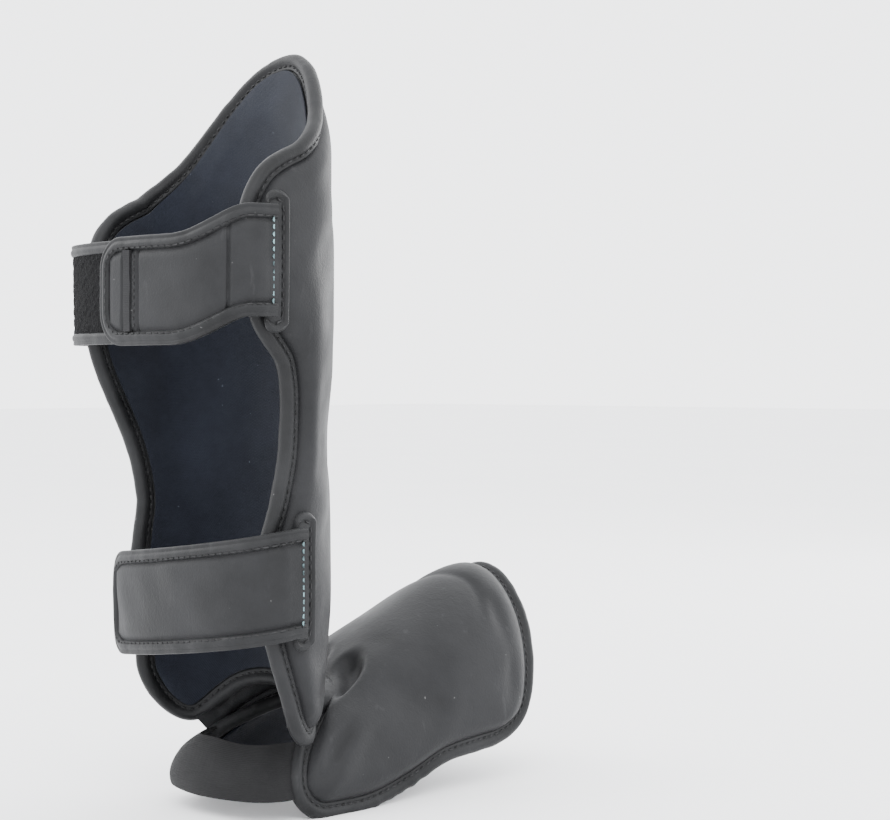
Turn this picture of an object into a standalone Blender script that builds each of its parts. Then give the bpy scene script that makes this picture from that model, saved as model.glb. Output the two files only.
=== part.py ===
"""Kickboxing shin guard: a padded shin shell with two calf straps, and a padded arch over the foot.

Metres, +Z up. The toes point to -Y. "near" is the -X side, where the straps are sewn on, and "far" the +X side.
The guard stands by itself on the lobes of its instep pad.
"""

import math
from collections import namedtuple

import bpy
from mathutils import Matrix, Vector

# Walls and edges
PAD_THICKNESS = 0.012
EDGE_THICKNESS = 0.006
EDGE_ROLL = 0.013
LINING_THICKNESS = 0.0016
BINDING_RADIUS = 0.0040
GAP = 0.0003
SOFT_GAP = 0.0007
LINING_GAP = 0.0009

# Shin shell
SHIN_LENGTH = 0.343
SHIN_BOTTOM = 0.047
SHIN_HALF_WIDTH = 0.073
SHIN_DEPTH = 0.045
WING_REACH = 0.043
WING_CURL = 0.004
DOME_HEIGHT = 0.090
DOME_TILT = 0.010
ANKLE_ARCH = 0.024

# Raised panel on the front of the shin
PANEL_HALF_WIDTH = 0.042
PANEL_HEIGHT = 0.005
PANEL_EDGE = 0.009

# Instep arch
FOOT_LENGTH = 0.174
FOOT_HALF_WIDTH = 0.060
FOOT_HEIGHT = 0.122
FOOT_FRONT_OF_HEEL = 0.018
FOOT_POINTED = 1.06

# Straps
STRAP_THICKNESS = 0.004
STRAP_WIDTH = 0.053
STRAP_CORNER = 0.016
ANCHOR_THICKNESS = 0.003
ANCHOR_BORDER = 0.0085
FLAP_THICKNESS = 0.003
FLAP_WIDTH = 0.052
UPPER_BACK = 0.020
LOWER_BACK = 0.021

# Elastics and the strip over the ankle
ELASTIC_THICKNESS = 0.0018
HEEL_BULGE = 0.026
SOLE_ELASTIC_SAG = 0.003
BRIDGE_THICKNESS = 0.003

# Rounded corners of the two padded forms
TOP_CORNER = 0.018
ANKLE_CORNER = 0.020
LOBE_CORNER = 0.016
TOE_CORNER = 0.014

# Mesh fineness
SHIN_COLUMNS = 26
SHIN_ROWS_COUNT = 28
FOOT_COLUMNS = 20
FOOT_ROWS_COUNT = 14
BINDING_SIDES = 8
NUDGE = 0.001

# Shin sections: up is a share of SHIN_LENGTH, half_width of SHIN_HALF_WIDTH, depth of SHIN_DEPTH,
# and near and far say how far each wing reaches behind the widest line, in shares of WING_REACH.
ShinRow = namedtuple("ShinRow", "up half_width depth near far")
SHIN_ROWS = (
    ShinRow(0.00, 0.89, 1.02, -0.10, -0.30),
    ShinRow(0.06, 0.89, 1.04, -0.07, 0.05),
    ShinRow(0.12, 0.89, 1.06, 0.10, 0.10),
    ShinRow(0.20, 0.90, 1.08, 0.28, 0.20),
    ShinRow(0.28, 0.90, 1.08, 0.26, 0.12),
    ShinRow(0.34, 0.91, 1.06, 0.12, 0.05),
    ShinRow(0.43, 0.93, 1.03, 0.00, 0.22),
    ShinRow(0.55, 0.97, 1.00, 0.10, 0.70),
    ShinRow(0.61, 0.99, 0.98, 0.48, 0.82),
    ShinRow(0.70, 1.00, 0.97, 0.72, 0.84),
    ShinRow(0.80, 1.00, 0.97, 0.76, 0.84),
    ShinRow(0.90, 0.99, 1.02, 0.76, 0.84),
    ShinRow(1.00, 0.97, 1.10, 0.76, 0.84),
)

# Outline over the shell, from its middle (across 0) to a wing's edge (across 1):
# drop is a share of DOME_HEIGHT below the apex, and rise a share of ANKLE_ARCH above the wing's lowest point.
EdgeRow = namedtuple("EdgeRow", "across drop rise")
EDGE_ROWS = (
    EdgeRow(0.00, 0.00, 1.00),
    EdgeRow(0.10, 0.02, 0.98),
    EdgeRow(0.19, 0.09, 0.93),
    EdgeRow(0.27, 0.18, 0.86),
    EdgeRow(0.36, 0.31, 0.74),
    EdgeRow(0.45, 0.44, 0.58),
    EdgeRow(0.55, 0.55, 0.40),
    EdgeRow(0.70, 0.67, 0.15),
    EdgeRow(0.85, 0.77, 0.00),
    EdgeRow(0.95, 0.88, 0.10),
    EdgeRow(1.00, 1.00, 0.34),
)

# Raised panel: half_width is a share of PANEL_HALF_WIDTH at each share of SHIN_LENGTH.
PanelRow = namedtuple("PanelRow", "up half_width")
PANEL_ROWS = (
    PanelRow(0.15, 0.56),
    PanelRow(0.36, 0.60),
    PanelRow(0.44, 0.68),
    PanelRow(0.56, 0.94),
    PanelRow(0.64, 1.00),
    PanelRow(0.77, 0.98),
    PanelRow(0.81, 0.74),
    PanelRow(0.85, 0.34),
    PanelRow(0.865, 0.00),
)
PANEL_BOTTOM = 0.155

# Instep sections from heel to toe: side_y and ridge_y are shares of FOOT_LENGTH in front of the heel edge,
# side_z and ridge_z shares of FOOT_HEIGHT, half_width of FOOT_HALF_WIDTH, and bow says how late y follows.
FootRow = namedtuple("FootRow", "along side_y side_z half_width ridge_y ridge_z bow")
FOOT_ROWS = (
    FootRow(0.00, 0.00, 0.058, 0.90, 0.28, 0.53, 3.00),
    FootRow(0.15, 0.11, 0.056, 0.92, 0.39, 0.64, 2.20),
    FootRow(0.30, 0.25, 0.061, 0.93, 0.51, 0.74, 1.70),
    FootRow(0.45, 0.40, 0.12, 0.95, 0.63, 0.82, 1.30),
    FootRow(0.60, 0.54, 0.20, 0.97, 0.75, 0.89, 1.00),
    FootRow(0.80, 0.69, 0.235, 0.99, 0.88, 0.95, 0.70),
    FootRow(1.00, 0.81, 0.25, 1.00, 1.00, 1.00, 0.35),
)

# Straps: height is the middle of the sewn end, drop how much lower the free end lies, fall and settle the places
# of the ring between which it comes down, start and end the stretch of the ring that the strap takes, flap_start
# the place where its loop flap begins, near and far the shares of WING_REACH where the ring leaves the wings, and
# back how far the ring bulges behind them.
Strap = namedtuple("Strap", "name height drop fall settle start end flap_start near far back")
STRAPS = (
    Strap("upper", 0.285, 0.0135, 0.08, 0.36, -0.13, 0.585, 0.50, 0.74, 0.80, UPPER_BACK),
    Strap("lower", 0.126, 0.0185, -0.10, 0.90, -0.22, 0.80, 0.52, 0.30, 0.10, LOWER_BACK),
)


def read(rows, column, at):
    """A column of a table at a share, on a smooth curve through its rows."""
    at = min(max(at, rows[0][0]), rows[-1][0])
    last = len(rows) - 1
    i = min(max(k for k in range(len(rows)) if rows[k][0] <= at), last - 1)
    before, low, high, after = (rows[min(max(k, 0), last)] for k in (i - 1, i, i + 1, i + 2))
    width = high[0] - low[0]
    start = (getattr(high, column) - getattr(before, column)) / (high[0] - before[0])
    end = (getattr(after, column) - getattr(low, column)) / (after[0] - low[0])
    t = (at - low[0]) / width
    return (
        getattr(low, column) * (2 * t**3 - 3 * t**2 + 1)
        + start * width * (t**3 - 2 * t**2 + t)
        + getattr(high, column) * (3 * t**2 - 2 * t**3)
        + end * width * (t**3 - t**2)
    )


def ease(share):
    """0 to 1 with a soft start and end."""
    share = min(max(share, 0.0), 1.0)
    return share * share * (3 - 2 * share)


def quarter(half_width, depth, steps=40):
    """Lengths along a quarter ellipse from its front, one for each step of the angle."""
    lengths = [0.0]
    for k in range(steps):
        a, b = (0.5 * math.pi * n / steps for n in (k, k + 1))
        step = math.hypot(half_width * (math.sin(b) - math.sin(a)), depth * (math.cos(b) - math.cos(a)))
        lengths.append(lengths[-1] + step)
    return lengths


def section_point(s, half_width, depth):
    """Point of a shin section at length s from its front: a half ellipse, then a wing that curls in a little."""
    lengths = quarter(half_width, depth)
    steps = len(lengths) - 1
    side = -1 if s < 0 else 1
    s = abs(s)
    if s >= lengths[-1]:
        past = s - lengths[-1]
        curl = WING_CURL * (past / WING_REACH) ** 2
        return side * (half_width - curl), past
    k = max(n for n in range(steps) if lengths[n] <= s)
    angle = 0.5 * math.pi * (k + (s - lengths[k]) / (lengths[k + 1] - lengths[k])) / steps
    return side * half_width * math.sin(angle), -depth * math.cos(angle)


def shin_span(up, side):
    """Length of a section from its front to the edge of one wing."""
    half_width = SHIN_HALF_WIDTH * read(SHIN_ROWS, "half_width", up)
    depth = SHIN_DEPTH * read(SHIN_ROWS, "depth", up)
    reach = WING_REACH * read(SHIN_ROWS, "near" if side < 0 else "far", up)
    return quarter(half_width, depth)[-1] + reach


def shin_at(u, z):
    """Point of the shell's outer form, u from -1 at the near wing's edge to 1 at the far one's."""
    up = (z - SHIN_BOTTOM) / SHIN_LENGTH
    half_width = SHIN_HALF_WIDTH * read(SHIN_ROWS, "half_width", up)
    depth = SHIN_DEPTH * read(SHIN_ROWS, "depth", up)
    x, y = section_point(u * shin_span(up, u), half_width, depth)
    return Vector((x, y, z))


def shin_heights(u):
    """Lowest and highest point of the shell at u, the near half of its top a little higher than the far one."""
    across = min(abs(u), 1.0)
    low = SHIN_BOTTOM + ANKLE_ARCH * read(EDGE_ROWS, "rise", across)
    high = SHIN_BOTTOM + SHIN_LENGTH - DOME_HEIGHT * read(EDGE_ROWS, "drop", across)
    high -= DOME_TILT * math.sin(math.pi * min(max(u, -0.5), 0.5))
    return low, high


def shin_form(u, v):
    """Point of the shell's outer form, v from 0 at its bottom edge to 1 at its top edge."""
    low, high = shin_heights(u)
    return shin_at(u, low + (high - low) * v)


def foot_form(u, v):
    """Point of the arch's outer form, u from -1 at the far side to 1 at the near one, v from heel to toe."""
    side_y, side_z, half_width, ridge_y, ridge_z, bow = (
        read(FOOT_ROWS, column, v) for column in FootRow._fields[1:]
    )
    angle = 0.5 * math.pi * u
    height = math.cos(angle)
    x = -math.copysign(abs(math.sin(angle)) ** FOOT_POINTED, u) * half_width * FOOT_HALF_WIDTH
    y = side_y + (ridge_y - side_y) * height**bow
    z = side_z + (ridge_z - side_z) * height
    return Vector((x, -FOOT_FRONT_OF_HEEL - FOOT_LENGTH * y, FOOT_HEIGHT * z))


def soften(form, u, v):
    """The place (u, v) of a form, moved so that the form's corners are rounded."""
    ankle, top = CORNERS[form]
    side = math.copysign(1.0, u)
    corner = top if v > 0.5 else ankle
    end = 1.0 if v > 0.5 else 0.0
    wide = (form(side, v) - form(side / 2, v)).length * 2
    tall = (form(side, 1 - end) - form(side, end)).length
    from_side = (1 - abs(u)) * wide / corner
    from_end = abs(end - v) * tall / corner
    if from_side >= 1 or from_end >= 1:
        return u, v
    across, down = 1 - from_side, 1 - from_end
    shrink = max(across, down) / max(math.hypot(across, down), 1e-9)
    u = side * (1 - (1 - across * shrink) * corner / wide)
    v = end + (1 - 2 * end) * (1 - down * shrink) * corner / tall
    return u, v


CORNERS = {shin_form: (ANKLE_CORNER, TOP_CORNER), foot_form: (LOBE_CORNER, TOE_CORNER)}


def normal(form, u, v, step=0.01):
    """Direction out of a form at (u, v)."""
    u0, u1 = max(u - step, -1.0), min(u + step, 1.0)
    v0, v1 = max(v - step, 0.0), min(v + step, 1.0)
    along_u = form(u1, v) - form(u0, v)
    along_v = form(u, v1) - form(u, v0)
    return along_u.cross(along_v).normalized()


def edge_distance(form, u, v):
    """Rough distance in metres to the nearest edge of a form."""
    to_side = (form(math.copysign(1.0, u), v) - form(u, v)).length
    to_end = min((form(u, 0.0) - form(u, v)).length, (form(u, 1.0) - form(u, v)).length)
    return min(to_side, to_end)


def rolled(form, u, v):
    """How far the padded face sinks towards its edge."""
    share = min(edge_distance(form, u, v) / EDGE_ROLL, 1.0)
    return (PAD_THICKNESS - EDGE_THICKNESS) * (1 - math.sqrt(1 - (1 - share) ** 2))


def panel_relief(u, v):
    """Height of the raised panel at a point of the shell."""
    point = shin_form(u, v)
    up = (point.z - SHIN_BOTTOM) / SHIN_LENGTH
    if not PANEL_ROWS[0].up - 0.03 < up < PANEL_ROWS[-1].up:
        return 0.0
    half_width = PANEL_HALF_WIDTH * read(PANEL_ROWS, "half_width", up)
    along = abs(u) * shin_span(up, u)
    inside = (half_width - along) / PANEL_EDGE
    above = (up - PANEL_BOTTOM) * SHIN_LENGTH / PANEL_EDGE
    return PANEL_HEIGHT * ease(inside + 0.5) * ease(above + 0.5)


def no_relief(u, v):
    return 0.0


def layer(form, top, bottom):
    """Two functions for the faces of a layer that lies top and bottom metres under a form."""

    def outer(u, v):
        u, v = soften(form, u, v)
        return form(u, v) - normal(form, u, v) * top(u, v)

    def inner(u, v):
        u, v = soften(form, u, v)
        return form(u, v) - normal(form, u, v) * bottom(u, v)

    return outer, inner


def material(name, colour, roughness):
    """A plain Principled material."""
    made = bpy.data.materials.new(name)
    made.use_nodes = True
    shader = made.node_tree.nodes["Principled BSDF"]
    shader.inputs["Base Color"].default_value = (*colour, 1.0)
    shader.inputs["Roughness"].default_value = roughness
    return made


def add_mesh(name, points, faces, finish):
    """A new object from points and faces, shaded smooth except at sharp edges."""
    mesh = bpy.data.meshes.new(name)
    mesh.from_pydata(points, [], faces)
    mesh.validate()
    mesh.shade_smooth()
    mesh.set_sharp_from_angle(angle=math.radians(40))
    made = bpy.data.objects.new(name, mesh)
    made.data.materials.append(finish)
    bpy.context.scene.collection.objects.link(made)
    return made


def sheet(name, faces_of, columns, rows, finish, u_range=(-1.0, 1.0), v_range=(0.0, 1.0)):
    """A closed sheet between an outer and an inner face, each a function of (u, v)."""
    outer, inner = faces_of
    points = []
    for face in (outer, inner):
        for j in range(rows + 1):
            v = v_range[0] + (v_range[1] - v_range[0]) * j / rows
            for i in range(columns + 1):
                u = u_range[0] + (u_range[1] - u_range[0]) * i / columns
                points.append(face(u, v))
    wide = columns + 1
    below = wide * (rows + 1)
    faces = []
    for j in range(rows):
        for i in range(columns):
            a = j * wide + i
            faces.append((a, a + 1, a + 1 + wide, a + wide))
            faces.append((below + a, below + a + wide, below + a + 1 + wide, below + a + 1))
    rim = [i for i in range(columns)]
    rim += [j * wide + columns for j in range(rows)]
    rim += [rows * wide + i for i in range(columns, 0, -1)]
    rim += [j * wide for j in range(rows, 0, -1)]
    for a, b in zip(rim, rim[1:] + rim[:1]):
        faces.append((b, a, below + a, below + b))
    return add_mesh(name, points, faces, finish)


def outline(columns, rows):
    """Places (u, v) round the edge of a form, once round from its near or far bottom corner."""
    low = [(-1 + 2 * i / columns, 0.0) for i in range(columns)]
    right = [(1.0, j / rows) for j in range(rows)]
    high = [(1 - 2 * i / columns, 1.0) for i in range(columns)]
    left = [(-1.0, 1 - j / rows) for j in range(rows)]
    return low + right + high + left


def edge_point(form, u, v):
    """Middle of the padded edge at a place of the outline, and the face's own direction there."""
    u, v = soften(form, u, v)
    up = normal(form, u, v)
    return form(u, v) - up * (PAD_THICKNESS - EDGE_THICKNESS / 2), up


def bindings(form, places, reach=BINDING_RADIUS + 2 * GAP):
    """Middle of the binding at each place of a closed outline, with the directions along, out and up."""
    edge = [edge_point(form, *place) for place in places]
    frames = []
    for n, (middle, up) in enumerate(edge):
        along = (edge[(n + 1) % len(edge)][0] - edge[n - 1][0]).normalized()
        out = along.cross(up).normalized()
        frames.append((middle + out * reach, along, out, out.cross(along)))
    return frames


def hem(form, u, v, step=0.01):
    """The binding's frame at one place of the outline's bottom edge."""
    return bindings(form, [(u - step, v), (u, v), (u + step, v)])[1]


def binding(name, form, columns, rows, finish):
    """The rolled edge: a closed tube round a form, just outside its edge, and flat where it stands on the floor."""
    frames = bindings(form, outline(columns, rows))
    points = []
    for centre, _, out, up in frames:
        for side in range(BINDING_SIDES):
            angle = 2 * math.pi * side / BINDING_SIDES
            point = centre + (out * math.cos(angle) + up * math.sin(angle)) * BINDING_RADIUS
            point.z = max(point.z, 0.0)
            points.append(point)
    faces = []
    for n in range(len(frames)):
        here, there = n * BINDING_SIDES, (n + 1) % len(frames) * BINDING_SIDES
        for side in range(BINDING_SIDES):
            other = (side + 1) % BINDING_SIDES
            faces.append((here + side, there + side, there + other, here + other))
    return add_mesh(name, points, faces, finish)


def padded_form(prefix, form, relief, columns, rows, leather, lining):
    """Pad, lining and binding of one padded form."""
    pad = layer(form, lambda u, v: rolled(form, u, v) - relief(u, v), lambda u, v: PAD_THICKNESS)
    sheet(prefix + "_pad", pad, columns, rows, leather)
    under = PAD_THICKNESS + LINING_GAP
    lined = layer(form, lambda u, v: under, lambda u, v: under + LINING_THICKNESS)
    sheet(prefix + "_lining", lined, columns * 2 // 3, rows * 2 // 3, lining, (-0.97, 0.97), (0.02, 0.98))
    binding(prefix + "_binding", form, columns, rows, leather)


def ring(strap, place, z, over):
    """Point of the ring that a strap follows, over metres outside the shell: place runs from -1 on the near
    wing to 0 where it leaves it, round the back of the calf to 1 on the far wing, and on to 2."""
    up = (z - SHIN_BOTTOM) / SHIN_LENGTH
    half_width = SHIN_HALF_WIDTH * read(SHIN_ROWS, "half_width", up)
    depth = SHIN_DEPTH * read(SHIN_ROWS, "depth", up)
    front = quarter(half_width, depth)[-1]
    near, far = WING_REACH * strap.near, WING_REACH * strap.far
    if 0 <= place <= 1:
        angle = math.pi * place
        curl = WING_CURL * (strap.near + (strap.far - strap.near) * place) ** 2
        y = near + (far - near) * place + (strap.back + over) * math.sin(angle) ** 0.8
        return Vector((-(half_width - curl + over) * math.cos(angle), y, z))
    side = -1 if place < 0 else 1
    past = -place if place < 0 else place - 1
    s = front + (near if side < 0 else far) - past * WING_REACH
    x, y = section_point(side * s, half_width, depth)
    x1, y1 = section_point(side * (s - NUDGE), half_width, depth)
    out = Vector((y - y1, x1 - x, 0)).normalized() * side
    return Vector((x, y, z)) + out * over


def band(strap, start, end, under, thickness, width, corner=0.0):
    """Outer and inner face of a band on the ring: u runs from -1 at its end to 1 at its start, v up its width."""

    def face(over):
        def point(u, v):
            place = end + (start - end) * (u + 1) / 2
            left = (end - place) * math.pi * SHIN_HALF_WIDTH / 2
            tight = 1 - min(left / corner, 1.0) if corner else 0.0
            half = width / 2 - corner * (1 - math.sqrt(1 - tight**2))
            sink = strap.drop * ease((place - strap.fall) / (strap.settle - strap.fall))
            return ring(strap, place, strap.height - sink + half * (2 * v - 1), over)

        return point

    return face(under + thickness), face(under)


def straps(leather, pile):
    """Each strap, the patch that it is sewn to, and the loop flap that it fastens on."""
    for strap in STRAPS:
        anchor_width = STRAP_WIDTH + 2 * ANCHOR_BORDER
        patch = band(strap, strap.start - 0.26, strap.start + 0.06, GAP, ANCHOR_THICKNESS, anchor_width)
        sheet(strap.name + "_strap_anchor", patch, 4, 6, leather)
        over = GAP + SOFT_GAP + max(ANCHOR_THICKNESS, FLAP_THICKNESS)
        strip = band(strap, strap.start, strap.end, over, STRAP_THICKNESS, STRAP_WIDTH, STRAP_CORNER)
        sheet(strap.name + "_strap", strip, 18, 4, leather)
        flap = band(strap, strap.flap_start, 1.60, GAP, FLAP_THICKNESS, FLAP_WIDTH)
        sheet(strap.name + "_loop_flap", flap, 14, 4, pile)


def ankle_bridge(leather):
    """The soft strip from the shin pad's bottom edge to the instep pad's heel edge."""

    def point(u, v, over):
        top, top_run, _, _ = hem(shin_form, 0.60 * u, 0.0)
        low, low_run, _, _ = hem(foot_form, -0.50 * u, 0.0)
        way = (low - top).normalized()
        clear = BINDING_RADIUS + SOFT_GAP
        top = top + way * clear / way.cross(top_run).length
        low = low - way * clear / way.cross(low_run).length
        out = top_run.cross(way).normalized()
        return top.lerp(low, 1 - v) + out * over

    half = BRIDGE_THICKNESS / 2
    faces = (lambda u, v: point(u, v, -half), lambda u, v: point(u, v, half))
    return sheet("ankle_bridge", faces, 22, 3, leather)


def heel_elastic(elastic):
    """The wide band behind the heel, between the two heel edges of the instep pad."""

    def point(u, v, over):
        centre, _, out, _ = hem(foot_form, 0.92 - 0.33 * v, 0.0)
        end = centre + out * (BINDING_RADIUS + SOFT_GAP + GAP)
        angle = 0.5 * math.pi * u
        x = -(end.x - over) * math.sin(angle)
        y = end.y + (HEEL_BULGE + over) * math.cos(angle)
        return Vector((x, y, end.z))

    half = ELASTIC_THICKNESS / 2
    faces = (lambda u, v: point(-u, v, half), lambda u, v: point(-u, v, -half))
    return sheet("heel_elastic", faces, 18, 4, elastic)


def sole_elastic(elastic):
    """The narrow band under the foot, between the insides of the instep pad."""
    inside = PAD_THICKNESS + LINING_GAP + LINING_THICKNESS + SOFT_GAP

    def point(u, v, over):
        along = 0.70 + 0.12 * v
        end = foot_form(0.93, along) - normal(foot_form, 0.93, along) * inside
        sag = SOLE_ELASTIC_SAG * math.cos(0.5 * math.pi * u)
        return Vector((-end.x * u, end.y, end.z - sag + over))

    half = ELASTIC_THICKNESS / 2
    faces = (lambda u, v: point(-u, v, half), lambda u, v: point(-u, v, -half))
    return sheet("sole_elastic", faces, 12, 2, elastic)


def build():
    leather = material("black_leather", (0.055, 0.056, 0.060), 0.55)
    lining = material("navy_lining", (0.016, 0.019, 0.030), 0.95)
    pile = material("loop_pile", (0.010, 0.010, 0.011), 1.0)
    elastic = material("black_elastic", (0.020, 0.020, 0.021), 0.90)
    padded_form("shin", shin_form, panel_relief, SHIN_COLUMNS, SHIN_ROWS_COUNT, leather, lining)
    padded_form("instep", foot_form, no_relief, FOOT_COLUMNS, FOOT_ROWS_COUNT, leather, lining)
    straps(leather, pile)
    ankle_bridge(leather)
    heel_elastic(elastic)
    sole_elastic(elastic)


def centre_on_origin():
    """Moves every mesh so that the whole guard stands in the middle of the origin."""
    meshes = [made.data for made in bpy.data.objects]
    middle = []
    for axis in (0, 1):
        values = [vertex.co[axis] for mesh in meshes for vertex in mesh.vertices]
        middle.append((min(values) + max(values)) / 2)
    for mesh in meshes:
        mesh.transform(Matrix.Translation((-middle[0], -middle[1], 0.0)))


for old in list(bpy.data.objects):
    bpy.data.objects.remove(old)
build()
centre_on_origin()
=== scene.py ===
"""Looks of the kickboxing shin guard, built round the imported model. Metres, +Z up, toes to -Y.

The forms repeat the named sizes and tables of the solids, so that each dressed piece lies where its solid is.
"""

import math
from collections import namedtuple

import bpy
import numpy as np
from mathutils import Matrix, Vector


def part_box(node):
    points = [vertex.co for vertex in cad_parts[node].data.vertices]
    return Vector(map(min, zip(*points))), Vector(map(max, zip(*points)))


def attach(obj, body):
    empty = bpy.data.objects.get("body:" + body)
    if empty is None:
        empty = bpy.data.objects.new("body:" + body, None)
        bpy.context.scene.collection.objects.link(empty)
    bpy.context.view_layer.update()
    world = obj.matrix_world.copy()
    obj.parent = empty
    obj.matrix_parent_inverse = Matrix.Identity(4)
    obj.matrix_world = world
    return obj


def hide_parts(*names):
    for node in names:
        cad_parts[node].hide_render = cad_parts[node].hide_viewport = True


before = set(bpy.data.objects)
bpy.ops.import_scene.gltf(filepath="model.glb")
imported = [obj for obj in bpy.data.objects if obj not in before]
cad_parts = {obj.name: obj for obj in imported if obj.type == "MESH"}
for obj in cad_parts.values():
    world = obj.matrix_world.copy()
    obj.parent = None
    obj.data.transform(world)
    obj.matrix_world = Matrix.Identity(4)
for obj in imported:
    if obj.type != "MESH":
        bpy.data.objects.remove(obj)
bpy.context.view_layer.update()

# Sizes shared with the solids
PAD_THICKNESS = 0.012
EDGE_THICKNESS = 0.006
LINING_THICKNESS = 0.0016
LINING_GAP = 0.0009
BINDING_RADIUS = 0.0040
GAP = 0.0003
SOFT_GAP = 0.0007
SHIN_LENGTH = 0.343
SHIN_BOTTOM = 0.047
SHIN_HALF_WIDTH = 0.073
SHIN_DEPTH = 0.045
WING_REACH = 0.043
WING_CURL = 0.004
DOME_HEIGHT = 0.090
DOME_TILT = 0.010
ANKLE_ARCH = 0.024
PANEL_HALF_WIDTH = 0.042
PANEL_HEIGHT = 0.005
PANEL_EDGE = 0.009
PANEL_BOTTOM = 0.155
FOOT_LENGTH = 0.174
FOOT_HALF_WIDTH = 0.060
FOOT_HEIGHT = 0.122
FOOT_FRONT_OF_HEEL = 0.018
FOOT_POINTED = 1.06
STRAP_THICKNESS = 0.004
STRAP_WIDTH = 0.053
STRAP_CORNER = 0.016
ANCHOR_THICKNESS = 0.003
ANCHOR_BORDER = 0.0085
FLAP_THICKNESS = 0.003
FLAP_WIDTH = 0.052
UPPER_BACK = 0.020
LOWER_BACK = 0.021
ELASTIC_THICKNESS = 0.0018
HEEL_BULGE = 0.026
SOLE_ELASTIC_SAG = 0.003
BRIDGE_THICKNESS = 0.003
TOP_CORNER = 0.018
ANKLE_CORNER = 0.020
LOBE_CORNER = 0.016
TOE_CORNER = 0.014

ShinRow = namedtuple("ShinRow", "up half_width depth near far")
SHIN_ROWS = (
    ShinRow(0.00, 0.89, 1.02, -0.10, -0.30),
    ShinRow(0.06, 0.89, 1.04, -0.07, 0.05),
    ShinRow(0.12, 0.89, 1.06, 0.10, 0.10),
    ShinRow(0.20, 0.90, 1.08, 0.28, 0.20),
    ShinRow(0.28, 0.90, 1.08, 0.26, 0.12),
    ShinRow(0.34, 0.91, 1.06, 0.12, 0.05),
    ShinRow(0.43, 0.93, 1.03, 0.00, 0.22),
    ShinRow(0.55, 0.97, 1.00, 0.10, 0.70),
    ShinRow(0.61, 0.99, 0.98, 0.48, 0.82),
    ShinRow(0.70, 1.00, 0.97, 0.72, 0.84),
    ShinRow(0.80, 1.00, 0.97, 0.76, 0.84),
    ShinRow(0.90, 0.99, 1.02, 0.76, 0.84),
    ShinRow(1.00, 0.97, 1.10, 0.76, 0.84),
)
EdgeRow = namedtuple("EdgeRow", "across drop rise")
EDGE_ROWS = (
    EdgeRow(0.00, 0.00, 1.00),
    EdgeRow(0.10, 0.02, 0.98),
    EdgeRow(0.19, 0.09, 0.93),
    EdgeRow(0.27, 0.18, 0.86),
    EdgeRow(0.36, 0.31, 0.74),
    EdgeRow(0.45, 0.44, 0.58),
    EdgeRow(0.55, 0.55, 0.40),
    EdgeRow(0.70, 0.67, 0.15),
    EdgeRow(0.85, 0.77, 0.00),
    EdgeRow(0.95, 0.88, 0.10),
    EdgeRow(1.00, 1.00, 0.34),
)
PanelRow = namedtuple("PanelRow", "up half_width")
PANEL_ROWS = (
    PanelRow(0.15, 0.56),
    PanelRow(0.36, 0.60),
    PanelRow(0.44, 0.68),
    PanelRow(0.56, 0.94),
    PanelRow(0.64, 1.00),
    PanelRow(0.77, 0.98),
    PanelRow(0.81, 0.74),
    PanelRow(0.85, 0.34),
    PanelRow(0.865, 0.00),
)
FootRow = namedtuple("FootRow", "along side_y side_z half_width ridge_y ridge_z bow")
FOOT_ROWS = (
    FootRow(0.00, 0.00, 0.058, 0.90, 0.28, 0.53, 3.00),
    FootRow(0.15, 0.11, 0.056, 0.92, 0.39, 0.64, 2.20),
    FootRow(0.30, 0.25, 0.061, 0.93, 0.51, 0.74, 1.70),
    FootRow(0.45, 0.40, 0.12, 0.95, 0.63, 0.82, 1.30),
    FootRow(0.60, 0.54, 0.20, 0.97, 0.75, 0.89, 1.00),
    FootRow(0.80, 0.69, 0.235, 0.99, 0.88, 0.95, 0.70),
    FootRow(1.00, 0.81, 0.25, 1.00, 1.00, 1.00, 0.35),
)
Strap = namedtuple("Strap", "name height drop fall settle start end flap_start near far back")
STRAPS = (
    Strap("upper", 0.285, 0.0135, 0.08, 0.36, -0.13, 0.585, 0.50, 0.74, 0.80, UPPER_BACK),
    Strap("lower", 0.126, 0.0185, -0.10, 0.90, -0.22, 0.80, 0.52, 0.30, 0.10, LOWER_BACK),
)

# Sizes of the dressed pieces
STRIP_INSIDE = 0.0056
STRIP_HALF = 0.0040
STITCH_INSET = 0.0029
ROLL_START = 0.0012
ROLL = 0.013
THREAD_RADIUS = 0.00050
STITCH_LENGTH = 0.0030
STITCH_STEP = 0.0044
CLOTH_CAP = 0.0016
GATHERED = (0.40, 0.22)

# Cloth simulation of the pads
CLOTH_STEPS = 20
CLOTH_PRESSURE = 4.0

# Camera, set from the outline of the guard in the photograph
CAMERA_AZIMUTH = 230.0
CAMERA_ELEVATION = 1.5
CAMERA_DISTANCE = 1.05
CAMERA_TARGET = Vector((0.0016, 0.0406, 0.20))
TARGET_PIXEL = (264.0, 430.0)
METRES_PER_PIXEL = 0.000537
IMAGE_SIZE = (890, 820)
SENSOR = 36.0


def vec(x, y, z):
    return np.stack(np.broadcast_arrays(x, y, z), axis=-1).astype(float)


def length(points):
    return np.sqrt((points**2).sum(-1))


def unit(points):
    return points / np.maximum(length(points), 1e-12)[..., None]


def run_of(points):
    """Length along a line up to each of its points."""
    return np.concatenate([[0], np.cumsum(length(np.diff(points, axis=0)))])


def between(at, run, values):
    """Rows of three numbers at lengths along a line."""
    return np.stack([np.interp(at, run, values[:, k]) for k in range(3)], -1)


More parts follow.
